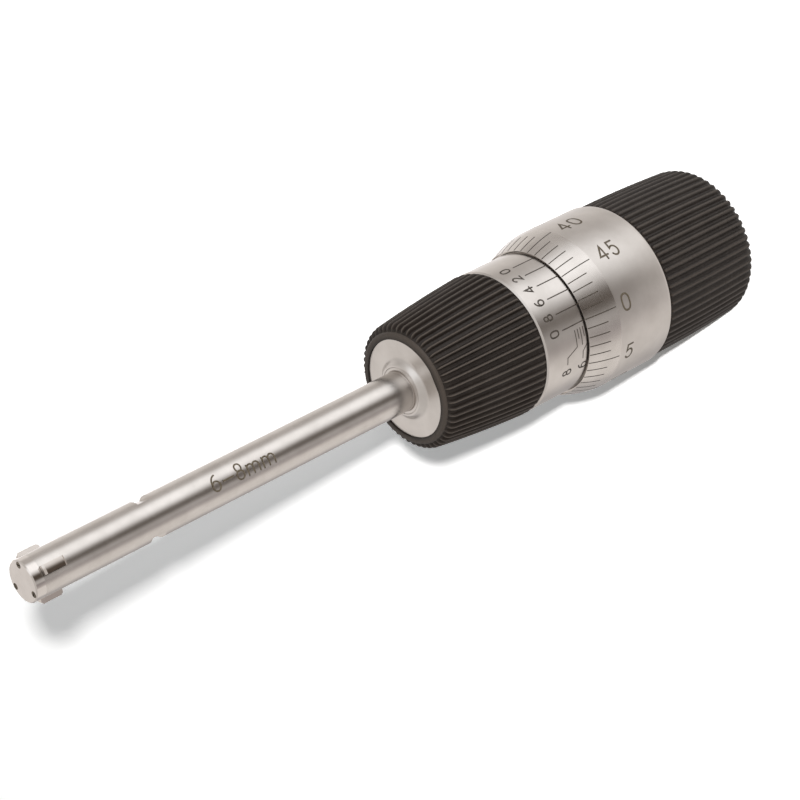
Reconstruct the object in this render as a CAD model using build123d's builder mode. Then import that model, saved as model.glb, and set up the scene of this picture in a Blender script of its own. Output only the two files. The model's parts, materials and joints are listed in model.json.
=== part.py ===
"""Inside micrometer for bores of 6 to 8 mm, standing on the flat end of its rear grip, in millimetres.

The axis is Z. The origin is the centre of the rear face, and +Z points to the measuring head.
Azimuths are counted from +X, and the reading line of the scales faces -Y.
"""
import os
from math import cos, radians, sin, tan

from build123d import *

os.makedirs("parts", exist_ok=True)

# Measuring range and screw, and the bore that the anvils are set to at rest
smallest_bore = 6.0
largest_bore = 8.0
shown_bore = 7.1
screw_lead = 0.5
bore_per_turn = 0.5

# Fits: screwed or pressed together, running, and free
seat_fit = 0.01
running_fit = 0.03
shell_fit = 0.06
free_gap = 0.3

# Lengths along the axis, from the rear face to the head
rear_grip_length = 18.3
grip_gap = 0.2
thimble_length = 14.85
bare_sleeve_length = 7.6
front_grip_length = 16.35
face_recess = 0.2
reach = 60.2

# Stem, head and cap
stem_radius = 2.75
stem_bore_radius = 2.1
head_bore_radius = 1.7
stem_spigot_length = 8.0
head_edge = 0.15
cap_thickness = 1.4
cap_web = 0.7
head_azimuth = 46.5
dimple_radius = 1.0
dimple_depth = 0.55
dimple_reach = 18.2
dimple_azimuth = 10.0

# Screws in the cap
cap_screw_circle = 2.2
cap_screw_radius = 0.25
cap_screw_head_radius = 0.42
cap_screw_head_depth = 0.35
cap_screw_grip = 1.1
cap_screw_slot = 0.14

# Anvils and their T-shaped feet
anvil_count = 3
anvil_length = 3.1
anvil_width = 1.2
anvil_inner_radius = 0.5
anvil_edge = 0.25
foot_thickness = 0.35
neck_width = 0.7
neck_height = 0.3

# Cone and push rod
wedge_front_radius = 0.55
cone_step = 2.3
cone_length = 6.2
cone_socket_depth = 2.5
rod_radius = 1.2
rod_spigot_radius = 0.6
rod_overhang = 1.8
ball_radius = 1.0
ball_seat_depth = 0.3

# Rod bushes, spring and its collar
front_bush_length = 3.0
rear_bush_length = 4.0
spring_length = 14.0
spring_wire = 0.4
spring_turns = 6
collar_length = 2.0

# Barrel, nose and front grip seat
nose_radius = 6.87
nose_flat_depth = 0.15
nose_flat_azimuth = -84.3
boss_base_radius = 4.55
boss_top_radius = 3.4
boss_height = 0.7
bush_lip = 0.1
nose_bush_wall = 0.5
nose_bush_length = 6.0
cavity_radius = 4.2
cavity_web = 1.0
nut_bore_radius = 6.0
nut_length = 12.8

# Scale sleeve
sleeve_radius = 10.1
sleeve_wall = 0.8
sleeve_chamfer = 0.22

# Spindle nut and its adjusting ring
nut_recess = 0.5
split_length = 3.0
split_wall = 1.1
slit_width = 0.4
slit_count = 3
adjuster_length = 2.6
adjuster_notch = 1.0

# Spindle
thread_radius = 3.5
tip_radius = 2.0
tip_length = 4.6
taper_small_radius = 3.0
taper_large_radius = 3.4
nut_thread_radius = 2.6
journal_radius = 2.2
journal_flat = 0.4

# Thimble and its nut
thimble_radius = 11.72
thimble_lip = 0.25
bevel_length = 4.85
bevel_bulge_length = 2.7
bevel_bulge_drop = 0.4
thimble_web = 2.0
spigot_wall = 1.5
spigot_length = 1.7
thimble_nut_length = 2.9
thimble_nut_radius = 4.6

# Ribbed grips
front_rib_count = 54
front_rib_angle = 2.9
front_groove_depth = 0.42
front_crest_tip_radius = 8.62
front_crest_middle_radius = 9.5
front_crest_back_radius = 10.2
front_rim_radius = 7.8
front_rim_length = 0.4
front_end_drop = 0.75
front_back_drop = 0.5
front_back_run = 0.9
rear_rib_count = 60
rear_rib_angle = 3.5
rear_groove_depth = 0.36
rear_crest_front_radius = 11.42
rear_crest_middle_radius = 11.36
rear_crest_back_radius = 10.95
rear_rim_length = 0.3
rear_end_round = 1.6
rear_end_step = 45

# Ratchet inside the rear grip
screw_recess_depth = 4.0
grip_core_radius = 8.3
end_cap_radius = 7.0
end_cap_thickness = 1.0
end_cap_recess = 0.15
end_cap_ledge = 0.6
driver_thickness = 2.2
driver_radius = 7.5
tooth_count = 24
tooth_height = 0.5
tooth_gap = 0.1
tooth_inner_radius = 5.2
ring_thickness = 2.0
key_count = 4
key_width = 2.0
key_depth = 0.7
disc_spring_height = 2.7
disc_spring_thickness = 0.5
disc_spring_outer_radius = 6.5
disc_spring_inner_radius = 3.2
washer_thickness = 0.5
washer_radius = 4.0
ratchet_screw_radius = 1.25
ratchet_screw_length = 5.5
ratchet_screw_head_radius = 3.2
ratchet_screw_head_height = 1.85
ratchet_screw_slot = 0.7

# Stations along the axis that follow from the lengths
thimble_back = rear_grip_length + grip_gap
thimble_front = thimble_back + thimble_length
sleeve_front = thimble_front + bare_sleeve_length
front_grip_front = sleeve_front + front_grip_length
nose_face = front_grip_front - face_recess
head_face = nose_face + reach

# Where the anvils stand beyond the smallest bore, the screw's travel from there, and the wedge's slope
anvil_lift = (shown_bore - smallest_bore) / 2
screw_travel = screw_lead * (largest_bore - shown_bore) / bore_per_turn
wedge_slope = bore_per_turn / 2 / screw_lead

# Stations of the head
cap_back = head_face - cap_thickness
anvil_back = cap_back - anvil_length
cone_front = head_face - cap_web - screw_travel - 2 * shell_fit
cone_back = cone_front - cone_length
bore_step = cone_front - cone_step + screw_travel + shell_fit

# Stations of the rod
stem_back = nose_face - stem_spigot_length
rod_back = stem_back - rod_overhang
ball_centre = rod_back + ball_seat_depth - ball_radius
spindle_tip = ball_centre - ball_radius - running_fit
front_bush_back = head_face - dimple_reach - front_bush_length / 2
collar_front = front_bush_back - spring_length

# Stations of the screw
web_front = thimble_back + thimble_web
barrel_back = web_front + screw_travel + free_gap
nut_back = barrel_back + nut_recess
nut_front = nut_back + nut_length
cavity_front = stem_back - cavity_web
thimble_nut_back = thimble_back - thimble_nut_length
driver_back = thimble_nut_back - driver_thickness
ring_front = driver_back - 2 * tooth_height - tooth_gap
ring_back = ring_front - ring_thickness
floor_front = ring_back - disc_spring_height
journal_back = screw_recess_depth - shell_fit
washer_back = journal_back - washer_thickness


def ring_section(inner, outer, back, front):
    """Rectangle in the XZ plane that revolves into a plain ring."""
    with BuildSketch(Plane.XZ) as section:
        with Locations(((inner + outer) / 2, (back + front) / 2)):
            Rectangle(outer - inner, front - back)
    return section.sketch


def rib_star(core_radius, tip_radius, rib_angle, count):
    """Star of ribs round a core, seen along the axis, with flanks that point at the axis."""
    half_width = tip_radius * tan(radians(rib_angle / 2))
    with BuildSketch() as star:
        Circle(core_radius)
        with PolarLocations(0, count):
            Polygon((0, 0), (tip_radius, -half_width), (tip_radius, half_width), align=None)
    return star.sketch


def wedge_plane():
    """Plane across the wedge of an anvil at azimuth 0: X across the anvil, Y off the wedge, Z to the front."""
    return Plane(
        origin=(wedge_front_radius, 0, cone_front),
        x_dir=(0, -1, 0),
        z_dir=(-wedge_slope, 0, 1),
    )


def wedge_section(half_width, half_neck, foot_bottom, foot_top, neck_top, height):
    """T-shaped section of the anvil's foot, its neck and the blade above it."""
    with BuildSketch() as section:
        for half, bottom, top in (
            (half_width, foot_bottom, foot_top),
            (half_neck, foot_bottom, neck_top),
            (half_width, neck_top, height),
        ):
            with Locations((0, (bottom + top) / 2)):
                Rectangle(2 * half, top - bottom)
    return section.sketch


# Head cap, hollowed at the back for the front of the cone
with BuildPart() as head_cap:
    with BuildSketch(Plane.XY.offset(cap_back)):
        Circle(stem_radius)
    extrude(amount=cap_thickness)
    chamfer(head_cap.edges().group_by(Axis.Z)[-1], head_edge)
    with Locations(Plane.XY.offset(cap_back).location):
        Cylinder(
            head_bore_radius,
            cap_thickness - cap_web,
            align=(Align.CENTER, Align.CENTER, Align.MIN),
            mode=Mode.SUBTRACT,
        )
    with Locations(Plane.XY.offset(head_face).location):
        with PolarLocations(cap_screw_circle, anvil_count, start_angle=head_azimuth + 180 / anvil_count):
            CounterBoreHole(
                cap_screw_radius + seat_fit,
                cap_screw_head_radius + seat_fit,
                cap_screw_head_depth + seat_fit,
                cap_thickness,
            )
head_cap.part.label = "head_cap"
export_step(head_cap.part, "parts/head_cap.step")

# Three slotted screws that hold the cap
with BuildPart() as head_cap_screws:
    with BuildSketch(Plane.XY.offset(cap_back - cap_screw_grip)):
        with PolarLocations(cap_screw_circle, anvil_count, start_angle=head_azimuth + 180 / anvil_count):
            Circle(cap_screw_radius)
    extrude(amount=cap_thickness + cap_screw_grip - cap_screw_head_depth)
    with BuildSketch(Plane.XY.offset(head_face - cap_screw_head_depth)):
        with PolarLocations(cap_screw_circle, anvil_count, start_angle=head_azimuth + 180 / anvil_count):
            Circle(cap_screw_head_radius)
    extrude(amount=cap_screw_head_depth)
    with BuildSketch(Plane.XY.offset(head_face)):
        with PolarLocations(cap_screw_circle, anvil_count, start_angle=head_azimuth + 180 / anvil_count):
            Rectangle(cap_screw_slot, 2 * cap_screw_head_radius)
    extrude(amount=-cap_screw_head_depth / 2, mode=Mode.SUBTRACT)
head_cap_screws.part.label = "head_cap_screws"
export_step(head_cap_screws.part, "parts/head_cap_screws.step")

# Anvil made at azimuth 0, its face ground to the smallest bore, then turned to its three places
blank_size = largest_bore
anvil_middle = (cap_back + anvil_back) / 2
with BuildPart() as anvil_blank:
    add(
        extrude(
            wedge_plane().location
            * wedge_section(
                anvil_width / 2,
                neck_width / 2,
                running_fit,
                running_fit + foot_thickness,
                running_fit + foot_thickness + neck_height,
                blank_size,
            ),
            amount=blank_size,
            both=True,
            mode=Mode.PRIVATE,
        )
    )
    with BuildSketch(Plane.XY.offset(anvil_back + running_fit)):
        with Locations((anvil_lift, 0)):
            Circle(smallest_bore / 2)
    extrude(amount=anvil_length - 2 * running_fit, mode=Mode.INTERSECT)
    with BuildSketch(Plane.YZ.offset(anvil_lift + anvil_inner_radius)):
        with Locations((0, anvil_middle)):
            Rectangle(blank_size, blank_size)
    extrude(amount=blank_size, mode=Mode.INTERSECT)
    outer_face = anvil_blank.faces().sort_by(Axis.X)[-1]
    chamfer(outer_face.edges().filter_by(GeomType.CIRCLE), anvil_edge)

for number in range(anvil_count):
    with BuildPart() as anvil:
        with Locations(Location((0, 0, 0), (0, 0, head_azimuth + number * 360 / anvil_count))):
            add(anvil_blank.part)
    anvil.part.label = f"anvil_{number + 1}"
    export_step(anvil.part, f"parts/anvil_{number + 1}.step")

# Stem and head in one turned tube, slotted at the front for the anvils and dimpled over the rod's front bush
with BuildPart() as head_tube:
    with BuildSketch(Plane.XY.offset(stem_back)):
        Circle(stem_radius)
        Circle(stem_bore_radius, mode=Mode.SUBTRACT)
    extrude(amount=bore_step - stem_back)
    with BuildSketch(Plane.XY.offset(bore_step)):
        Circle(stem_radius)
        Circle(head_bore_radius, mode=Mode.SUBTRACT)
    extrude(amount=cap_back - bore_step)
    with BuildSketch(Plane.XY.offset(anvil_back)):
        with PolarLocations(stem_radius, anvil_count, start_angle=head_azimuth):
            Rectangle(2 * (stem_radius - anvil_inner_radius), anvil_width + 2 * running_fit)
    extrude(amount=anvil_length, mode=Mode.SUBTRACT)
    with Locations(Plane.XY.offset(cap_back).location):
        with PolarLocations(cap_screw_circle, anvil_count, start_angle=head_azimuth + 180 / anvil_count):
            Hole(cap_screw_radius + seat_fit, cap_screw_grip + seat_fit)
    for azimuth in (dimple_azimuth, dimple_azimuth + 180):
        outward = Vector(cos(radians(azimuth)), sin(radians(azimuth)), 0)
        dimple_tip = (stem_radius - dimple_depth) * outward + Vector(0, 0, head_face - dimple_reach)
        with Locations(Plane(dimple_tip, z_dir=outward).location):
            Cone(
                0,
                2 * dimple_radius,
                2 * dimple_depth,
                align=(Align.CENTER, Align.CENTER, Align.MIN),
                mode=Mode.SUBTRACT,
            )
head_tube.part.label = "head_tube"
export_step(head_tube.part, "parts/head_tube.step")

# Cone with three inclined T-slots that the feet of the anvils hook into
with BuildPart() as cone:
    with BuildSketch(Plane.XY.offset(cone_back)):
        Circle(stem_bore_radius - 2 * running_fit)
    extrude(amount=cone_length - cone_step)
    with BuildSketch(Plane.XY.offset(cone_front - cone_step)):
        Circle(head_bore_radius - 2 * running_fit)
    extrude(amount=cone_step)
    slot_tool = extrude(
        wedge_plane().location
        * wedge_section(
            anvil_width / 2 + running_fit,
            neck_width / 2 + running_fit,
            0,
            foot_thickness + 2 * running_fit,
            foot_thickness + neck_height,
            blank_size,
        ),
        amount=blank_size,
        both=True,
        mode=Mode.PRIVATE,
    )
    with PolarLocations(0, anvil_count, start_angle=head_azimuth):
        add(slot_tool, mode=Mode.SUBTRACT)
    with Locations(Plane.XY.offset(cone_back).location):
        Cylinder(
            rod_spigot_radius + seat_fit,
            cone_socket_depth,
            align=(Align.CENTER, Align.CENTER, Align.MIN),
            mode=Mode.SUBTRACT,
        )
cone.part.label = "cone"
export_step(cone.part, "parts/cone.step")

# Push rod, screwed into the cone and cupped at the back for the ball
with BuildPart() as push_rod:
    add(ring_section(0, rod_radius, rod_back, cone_back))
    revolve(axis=Axis.Z)
    with BuildSketch(Plane.XY.offset(cone_back)):
        Circle(rod_spigot_radius)
    extrude(amount=cone_socket_depth - seat_fit)
    with Locations((0, 0, ball_centre)):
        Sphere(ball_radius + seat_fit, mode=Mode.SUBTRACT)
push_rod.part.label = "push_rod"
export_step(push_rod.part, "parts/push_rod.step")

with BuildPart() as thrust_ball:
    with Locations((0, 0, ball_centre)):
        Sphere(ball_radius)
thrust_ball.part.label = "thrust_ball"
export_step(thrust_ball.part, "parts/thrust_ball.step")

# Two bushes that guide the rod in the stem
for name, back, length in (
    ("front_rod_bush", front_bush_back, front_bush_length),
    ("rear_rod_bush", stem_back, rear_bush_length),
):
    with BuildPart() as rod_bush:
        add(ring_section(rod_radius + running_fit, stem_bore_radius - seat_fit, back, back + length))
        revolve(axis=Axis.Z)
    rod_bush.part.label = name
    export_step(rod_bush.part, f"parts/{name}.step")

# Collar pinned on the rod, and the spring between it and the front bush
with BuildPart() as spring_collar:
    collar_inner = rod_radius + seat_fit
    collar_outer = stem_bore_radius - 2 * running_fit
    add(ring_section(collar_inner, collar_outer, collar_front - collar_length, collar_front))
    revolve(axis=Axis.Z)
spring_collar.part.label = "spring_collar"
export_step(spring_collar.part, "parts/spring_collar.step")

coil_radius = (rod_radius + stem_bore_radius) / 2
with BuildPart() as return_spring:
    coil_height = spring_length - spring_wire - 2 * seat_fit
    with BuildLine() as coil:
        Helix(
            coil_height / spring_turns,
            coil_height,
            coil_radius,
            center=(0, 0, collar_front + spring_wire / 2 + seat_fit),
        )
    with BuildSketch(Plane(coil.line @ 0, z_dir=coil.line % 0)):
        Rectangle(spring_wire, spring_wire)
    sweep()
return_spring.part.label = "return_spring"
export_step(return_spring.part, "parts/return_spring.step")

# Bush round the stem where it enters the nose
bush_radius = stem_radius + nose_bush_wall
bush_front = nose_face + boss_height + bush_lip
with BuildPart() as nose_bush:
    add(ring_section(stem_radius + seat_fit, bush_radius, bush_front - nose_bush_length, bush_front))
    revolve(axis=Axis.Z)
    chamfer(nose_bush.edges().group_by(Axis.Z)[-1], bush_lip)
nose_bush.part.label = "nose_bush"
export_step(nose_bush.part, "parts/nose_bush.step")

# Barrel: nose with its flared boss, seat of the front grip, seat of the sleeve, and the bores
sleeve_seat_radius = sleeve_radius - sleeve_wall
with BuildPart() as barrel:
    with BuildSketch(Plane.XZ):
        with BuildLine():
            boss_foot = (boss_base_radius, nose_face)
            boss_top = (boss_top_radius, nose_face + boss_height)
            Polyline(
                boss_foot,
                (nose_radius, nose_face),
                (nose_radius, sleeve_front),
                (sleeve_seat_radius, sleeve_front),
                (sleeve_seat_radius, barrel_back),
                (nut_bore_radius, barrel_back),
                (nut_bore_radius, nut_front),
                (cavity_radius, nut_front),
                (cavity_radius, cavity_front),
                (stem_bore_radius, cavity_front),
                (stem_bore_radius, stem_back),
                (stem_radius + seat_fit, stem_back),
                (stem_radius + seat_fit, bush_front - nose_bush_length),
                (bush_radius + seat_fit, bush_front - nose_bush_length),
                (bush_radius + seat_fit, nose_face + boss_height),
                boss_top,
            )
            RadiusArc(boss_top, boss_foot, -(boss_base_radius - boss_top_radius))
        make_face()
    revolve(axis=Axis.Z)
    with BuildSketch(Plane.XY.offset(sleeve_front)):
        with PolarLocations(2 * nose_radius - nose_flat_depth, 1, start_angle=nose_flat_azimuth):
            Rectangle(2 * nose_radius, 2 * nose_radius)
    extrude(amount=nose_face - sleeve_front, mode=Mode.SUBTRACT)
barrel.part.label = "barrel"
export_step(barrel.part, "parts/barrel.step")

# Front grip: ribs to the crest line, on a body to the groove line, keyed on the flat of the nose
with BuildPart() as front_grip:
    grip_back = sleeve_front + seat_fit
    grip_middle = (grip_back + front_grip_front) / 2
    tip_start = front_grip_front - front_rim_length
    core_radius = front_rim_radius - front_groove_depth
    with BuildSketch(Plane.XY.offset(grip_back)):
        add(rib_star(core_radius, front_crest_back_radius + free_gap, front_rib_angle, front_rib_count))
    extrude(amount=tip_start - grip_back)
    with BuildSketch(Plane.XZ):
        Polygon(
            (0, grip_back),
            (front_crest_back_radius - front_back_drop, grip_back),
            (front_crest_back_radius, grip_back + front_back_run),
            (front_crest_middle_radius, grip_middle),
            (front_crest_tip_radius, tip_start - front_end_drop),
            (front_crest_tip_radius - front_end_drop, tip_start),
            (0, tip_start),
            align=None,
        )
    revolve(axis=Axis.Z, mode=Mode.INTERSECT)
    with BuildSketch(Plane.XZ):
        Polygon(
            (0, grip_back),
            (front_crest_back_radius - front_back_drop, grip_back),
            (front_crest_middle_radius - front_groove_depth, grip_middle),
            (front_crest_tip_radius - front_groove_depth, tip_start - front_end_drop),
            (front_rim_radius, tip_start),
            (front_rim_radius - front_rim_length, front_grip_front),
            (0, front_grip_front),
            align=None,
        )
    revolve(axis=Axis.Z)
    with BuildSketch(Plane.XY.offset(grip_back)):
        Circle(nose_radius + seat_fit)
        with PolarLocations(2 * nose_radius - nose_flat_depth + seat_fit, 1, start_angle=nose_flat_azimuth):
            Rectangle(2 * nose_radius, 2 * nose_radius, mode=Mode.SUBTRACT)
    extrude(amount=front_grip_length, mode=Mode.SUBTRACT)
front_grip.part.label = "front_grip"
export_step(front_grip.part, "parts/front_grip.step")

# Scale sleeve, turned on the barrel to set zero
with BuildPart() as scale_sleeve:
    add(ring_section(sleeve_seat_radius + seat_fit, sleeve_radius, barrel_back, sleeve_front))
    revolve(axis=Axis.Z)
    front_rim = scale_sleeve.edges().group_by(Axis.Z)[-1].sort_by(SortBy.RADIUS)[-1]
    chamfer(front_rim, sleeve_chamfer)
scale_sleeve.part.label = "scale_sleeve"
export_step(scale_sleeve.part, "parts/scale_sleeve.step")

# Spindle nut, split at the back, and the ring that closes it on the thread
split_radius = thread_radius + split_wall
with BuildPart() as spindle_nut:
    add(ring_section(thread_radius + running_fit, nut_bore_radius - seat_fit, nut_back + split_length, nut_front))
    add(ring_section(thread_radius + running_fit, split_radius, nut_back, nut_back + split_length))
    revolve(axis=Axis.Z)
    with BuildSketch(Plane.XY.offset(nut_back)):
        with PolarLocations(split_radius, slit_count):
            Rectangle(2 * split_wall, slit_width)
    extrude(amount=split_length, mode=Mode.SUBTRACT)
spindle_nut.part.label = "spindle_nut"
export_step(spindle_nut.part, "parts/spindle_nut.step")

with BuildPart() as adjusting_nut:
    adjuster_back = nut_back + (split_length - adjuster_length) / 2
    adjuster_radius = nut_bore_radius - shell_fit
    add(ring_section(split_radius + seat_fit, adjuster_radius, adjuster_back, adjuster_back + adjuster_length))
    revolve(axis=Axis.Z)
    with BuildSketch(Plane.XY.offset(adjuster_back)):
        with PolarLocations(adjuster_radius, 2):
            Rectangle(adjuster_notch, adjuster_notch)
    extrude(amount=adjuster_notch, mode=Mode.SUBTRACT)
adjusting_nut.part.label = "adjusting_nut"
export_step(adjusting_nut.part, "parts/adjusting_nut.step")

# Spindle: pushing tip, thread, taper for the thimble, thread for its nut, and the ratchet's journal
with BuildPart() as spindle:
    with BuildSketch(Plane.XZ):
        with BuildLine():
            Polyline(
                (0, spindle_tip),
                (tip_radius, spindle_tip),
                (tip_radius, spindle_tip - tip_length),
                (thread_radius, spindle_tip - tip_length),
                (thread_radius, web_front),
                (taper_large_radius, web_front),
                (taper_small_radius, thimble_back),
                (nut_thread_radius, thimble_back),
                (nut_thread_radius, thimble_nut_back),
                (journal_radius, thimble_nut_back),
                (journal_radius, journal_back),
                (ratchet_screw_radius, journal_back),
                (ratchet_screw_radius, journal_back + ratchet_screw_length),
                (0, journal_back + ratchet_screw_length),
                close=True,
            )
        make_face()
    revolve(axis=Axis.Z)
    with BuildSketch(Plane.XY.offset(driver_back)):
        with Locations((2 * journal_radius - journal_flat, 0)):
            Rectangle(2 * journal_radius, 2 * journal_radius)
    extrude(amount=driver_thickness, mode=Mode.SUBTRACT)
spindle.part.label = "spindle"
export_step(spindle.part, "parts/spindle.step")

# Thimble: bevelled shell, web with the tapered bore, and the spigot that the rear grip turns on
spigot_radius = grip_core_radius + spigot_wall
with BuildPart() as thimble:
    shell_bore = sleeve_radius + shell_fit
    with BuildSketch(Plane.XZ):
        with BuildLine():
            bevel_back = (thimble_radius, thimble_front - bevel_length)
            bevel_middle = (thimble_radius - bevel_bulge_drop, thimble_front - bevel_bulge_length)
            lip = (shell_bore + thimble_lip, thimble_front)
            ThreePointArc(lip, bevel_middle, bevel_back)
            Polyline(
                bevel_back,
                (thimble_radius, thimble_back),
                (spigot_radius, thimble_back),
                (spigot_radius, thimble_back - spigot_length),
                (spigot_radius - spigot_wall, thimble_back - spigot_length),
                (spigot_radius - spigot_wall, thimble_back),
                (taper_small_radius + seat_fit, thimble_back),
                (taper_large_radius + seat_fit, web_front),
                (shell_bore, web_front),
                (shell_bore, thimble_front),
                lip,
            )
        make_face()
    revolve(axis=Axis.Z)
thimble.part.label = "thimble"
export_step(thimble.part, "parts/thimble.step")

with BuildPart() as thimble_nut:
    with BuildSketch(Plane.XY.offset(thimble_nut_back)):
        RegularPolygon(thimble_nut_radius, 6)
        Circle(nut_thread_radius + seat_fit, mode=Mode.SUBTRACT)
    extrude(amount=thimble_nut_length)
thimble_nut.part.label = "thimble_nut"
export_step(thimble_nut.part, "parts/thimble_nut.step")


def tooth_section(back, height):
    """Saw tooth seen from outside at azimuth 0, pointing forwards for a positive height."""
    half_pitch = driver_radius * sin(radians(180 / tooth_count))
    with BuildSketch(Plane.YZ.offset(tooth_inner_radius)) as tooth:
        Polygon((-half_pitch, back), (half_pitch, back), (half_pitch, back + height), align=None)
    return tooth.sketch


# Driver on the flat of the spindle, with crown teeth facing the ratchet ring
with BuildPart() as ratchet_driver:
    with BuildSketch(Plane.XY.offset(driver_back)):
        Circle(driver_radius)
        with BuildSketch(mode=Mode.PRIVATE) as journal_section:
            Circle(journal_radius + seat_fit)
            with Locations((2 * journal_radius - journal_flat + seat_fit, 0)):
                Rectangle(2 * journal_radius, 2 * journal_radius, mode=Mode.SUBTRACT)
        add(journal_section.sketch, mode=Mode.SUBTRACT)
    extrude(amount=driver_thickness)
    driver_tooth = extrude(
        tooth_section(driver_back, -tooth_height),
        amount=driver_radius - tooth_inner_radius,
        mode=Mode.PRIVATE,
    )
    with PolarLocations(0, tooth_count):
        add(driver_tooth)
ratchet_driver.part.label = "ratchet_driver"
export_step(ratchet_driver.part, "parts/ratchet_driver.step")

# Ratchet ring, keyed in the rear grip and pushed forwards by its spring
ring_radius = grip_core_radius - shell_fit
with BuildPart() as ratchet_ring:
    with BuildSketch(Plane.XY.offset(ring_back)):
        Circle(ring_radius)
        with PolarLocations(ring_radius, key_count):
            Rectangle(2 * (key_depth - shell_fit), key_width)
        Circle(journal_radius + free_gap, mode=Mode.SUBTRACT)
    extrude(amount=ring_thickness)
    ring_tooth = extrude(
        tooth_section(ring_front, tooth_height),
        amount=driver_radius - tooth_inner_radius,
        mode=Mode.PRIVATE,
    )
    with PolarLocations(0, tooth_count):
        add(ring_tooth)
ratchet_ring.part.label = "ratchet_ring"
export_step(ratchet_ring.part, "parts/ratchet_ring.step")

# Two coned disc springs, small ends together, between the floor of the grip and the ring
with BuildPart() as ratchet_springs:
    disc_middle = (floor_front + ring_back) / 2
    for outer_edge, inner_edge, thickness in (
        (floor_front, disc_middle - seat_fit, disc_spring_thickness),
        (ring_back, disc_middle + seat_fit, -disc_spring_thickness),
    ):
        with BuildSketch(Plane.XZ):
            Polygon(
                (disc_spring_outer_radius, outer_edge),
                (disc_spring_outer_radius, outer_edge + thickness),
                (disc_spring_inner_radius, inner_edge),
                (disc_spring_inner_radius, inner_edge - thickness),
                align=None,
            )
    revolve(axis=Axis.Z)
ratchet_springs.part.label = "ratchet_springs"
export_step(ratchet_springs.part, "parts/ratchet_springs.step")

# Rear grip: fine ribs from a smooth rim over the rounded end, on a cup with keyways for the ratchet ring
with BuildPart() as rear_grip:
    rear_middle = rear_grip_length / 2
    core_radius = rear_crest_back_radius - rear_groove_depth - rear_end_round
    with BuildSketch():
        add(rib_star(core_radius, thimble_radius, rear_rib_angle, rear_rib_count))
    extrude(amount=rear_grip_length)
    for depth, front, mode in (
        (0, rear_grip_length - rear_rim_length, Mode.INTERSECT),
        (rear_groove_depth, rear_grip_length, Mode.ADD),
    ):
        end_centre = rear_crest_back_radius - rear_end_round
        end_points = [
            (
                end_centre + (rear_end_round - depth) * cos(radians(turn)),
                rear_end_round - rear_end_round * sin(radians(turn)),
            )
            for turn in range(90, -1, -rear_end_step)
        ]
        with BuildSketch(Plane.XZ):
            Polygon(
                (0, 0),
                *end_points,
                (rear_crest_middle_radius - depth, rear_middle),
                (rear_crest_front_radius - depth, front),
                (0, front),
                align=None,
            )
        revolve(axis=Axis.Z, mode=mode)
    with BuildSketch(Plane.XZ):
        with BuildLine():
            Polyline(
                (0, 0),
                (end_cap_radius + seat_fit, 0),
                (end_cap_radius + seat_fit, end_cap_recess + end_cap_thickness),
                (end_cap_radius - end_cap_ledge, end_cap_recess + end_cap_thickness),
                (end_cap_radius - end_cap_ledge, screw_recess_depth),
                (journal_radius + shell_fit, screw_recess_depth),
                (journal_radius + shell_fit, floor_front),
                (grip_core_radius, floor_front),
                (grip_core_radius, thimble_back - spigot_length - free_gap),
                (spigot_radius + shell_fit, thimble_back - spigot_length - free_gap),
                (spigot_radius + shell_fit, rear_grip_length),
                (0, rear_grip_length),
                close=True,
            )
        make_face()
    revolve(axis=Axis.Z, mode=Mode.SUBTRACT)
    with BuildSketch(Plane.XY.offset(floor_front)):
        with PolarLocations(grip_core_radius, key_count):
            Rectangle(2 * key_depth, key_width + 2 * shell_fit)
    extrude(amount=rear_grip_length - floor_front, mode=Mode.SUBTRACT)
rear_grip.part.label = "rear_grip"
export_step(rear_grip.part, "parts/rear_grip.step")

# Washer and screw that keep the rear grip on the spindle, and the cap that hides them
with BuildPart() as thrust_washer:
    add(ring_section(ratchet_screw_radius + shell_fit, washer_radius, washer_back, journal_back))
    revolve(axis=Axis.Z)
thrust_washer.part.label = "thrust_washer"
export_step(thrust_washer.part, "parts/thrust_washer.step")

with BuildPart() as ratchet_screw:
    with BuildSketch(Plane.XY.offset(washer_back - ratchet_screw_head_height)):
        Circle(ratchet_screw_head_radius)
    extrude(amount=ratchet_screw_head_height)
    with BuildSketch(Plane.XY.offset(washer_back)):
        Circle(ratchet_screw_radius - seat_fit)
    extrude(amount=washer_thickness + ratchet_screw_length - free_gap)
    with BuildSketch(Plane.XY.offset(washer_back - ratchet_screw_head_height)):
        Rectangle(2 * ratchet_screw_head_radius, ratchet_screw_slot)
    extrude(amount=ratchet_screw_slot, mode=Mode.SUBTRACT)
ratchet_screw.part.label = "ratchet_screw"
export_step(ratchet_screw.part, "parts/ratchet_screw.step")

with BuildPart() as end_cap:
    add(ring_section(0, end_cap_radius, end_cap_recess, end_cap_recess + end_cap_thickness - seat_fit))
    revolve(axis=Axis.Z)
end_cap.part.label = "end_cap"
export_step(end_cap.part, "parts/end_cap.step")
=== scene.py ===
"""Looks of the inside micrometer: its finishes, its ribbed grips, its scales, and the studio round it.

Sizes are in millimetres in the row frame and become metres where a mesh is made.
"""
import json
from math import atan2, cos, degrees, exp, hypot, pi, radians, sin, sqrt

import bmesh
import bpy
from mathutils import Matrix, Vector


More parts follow.
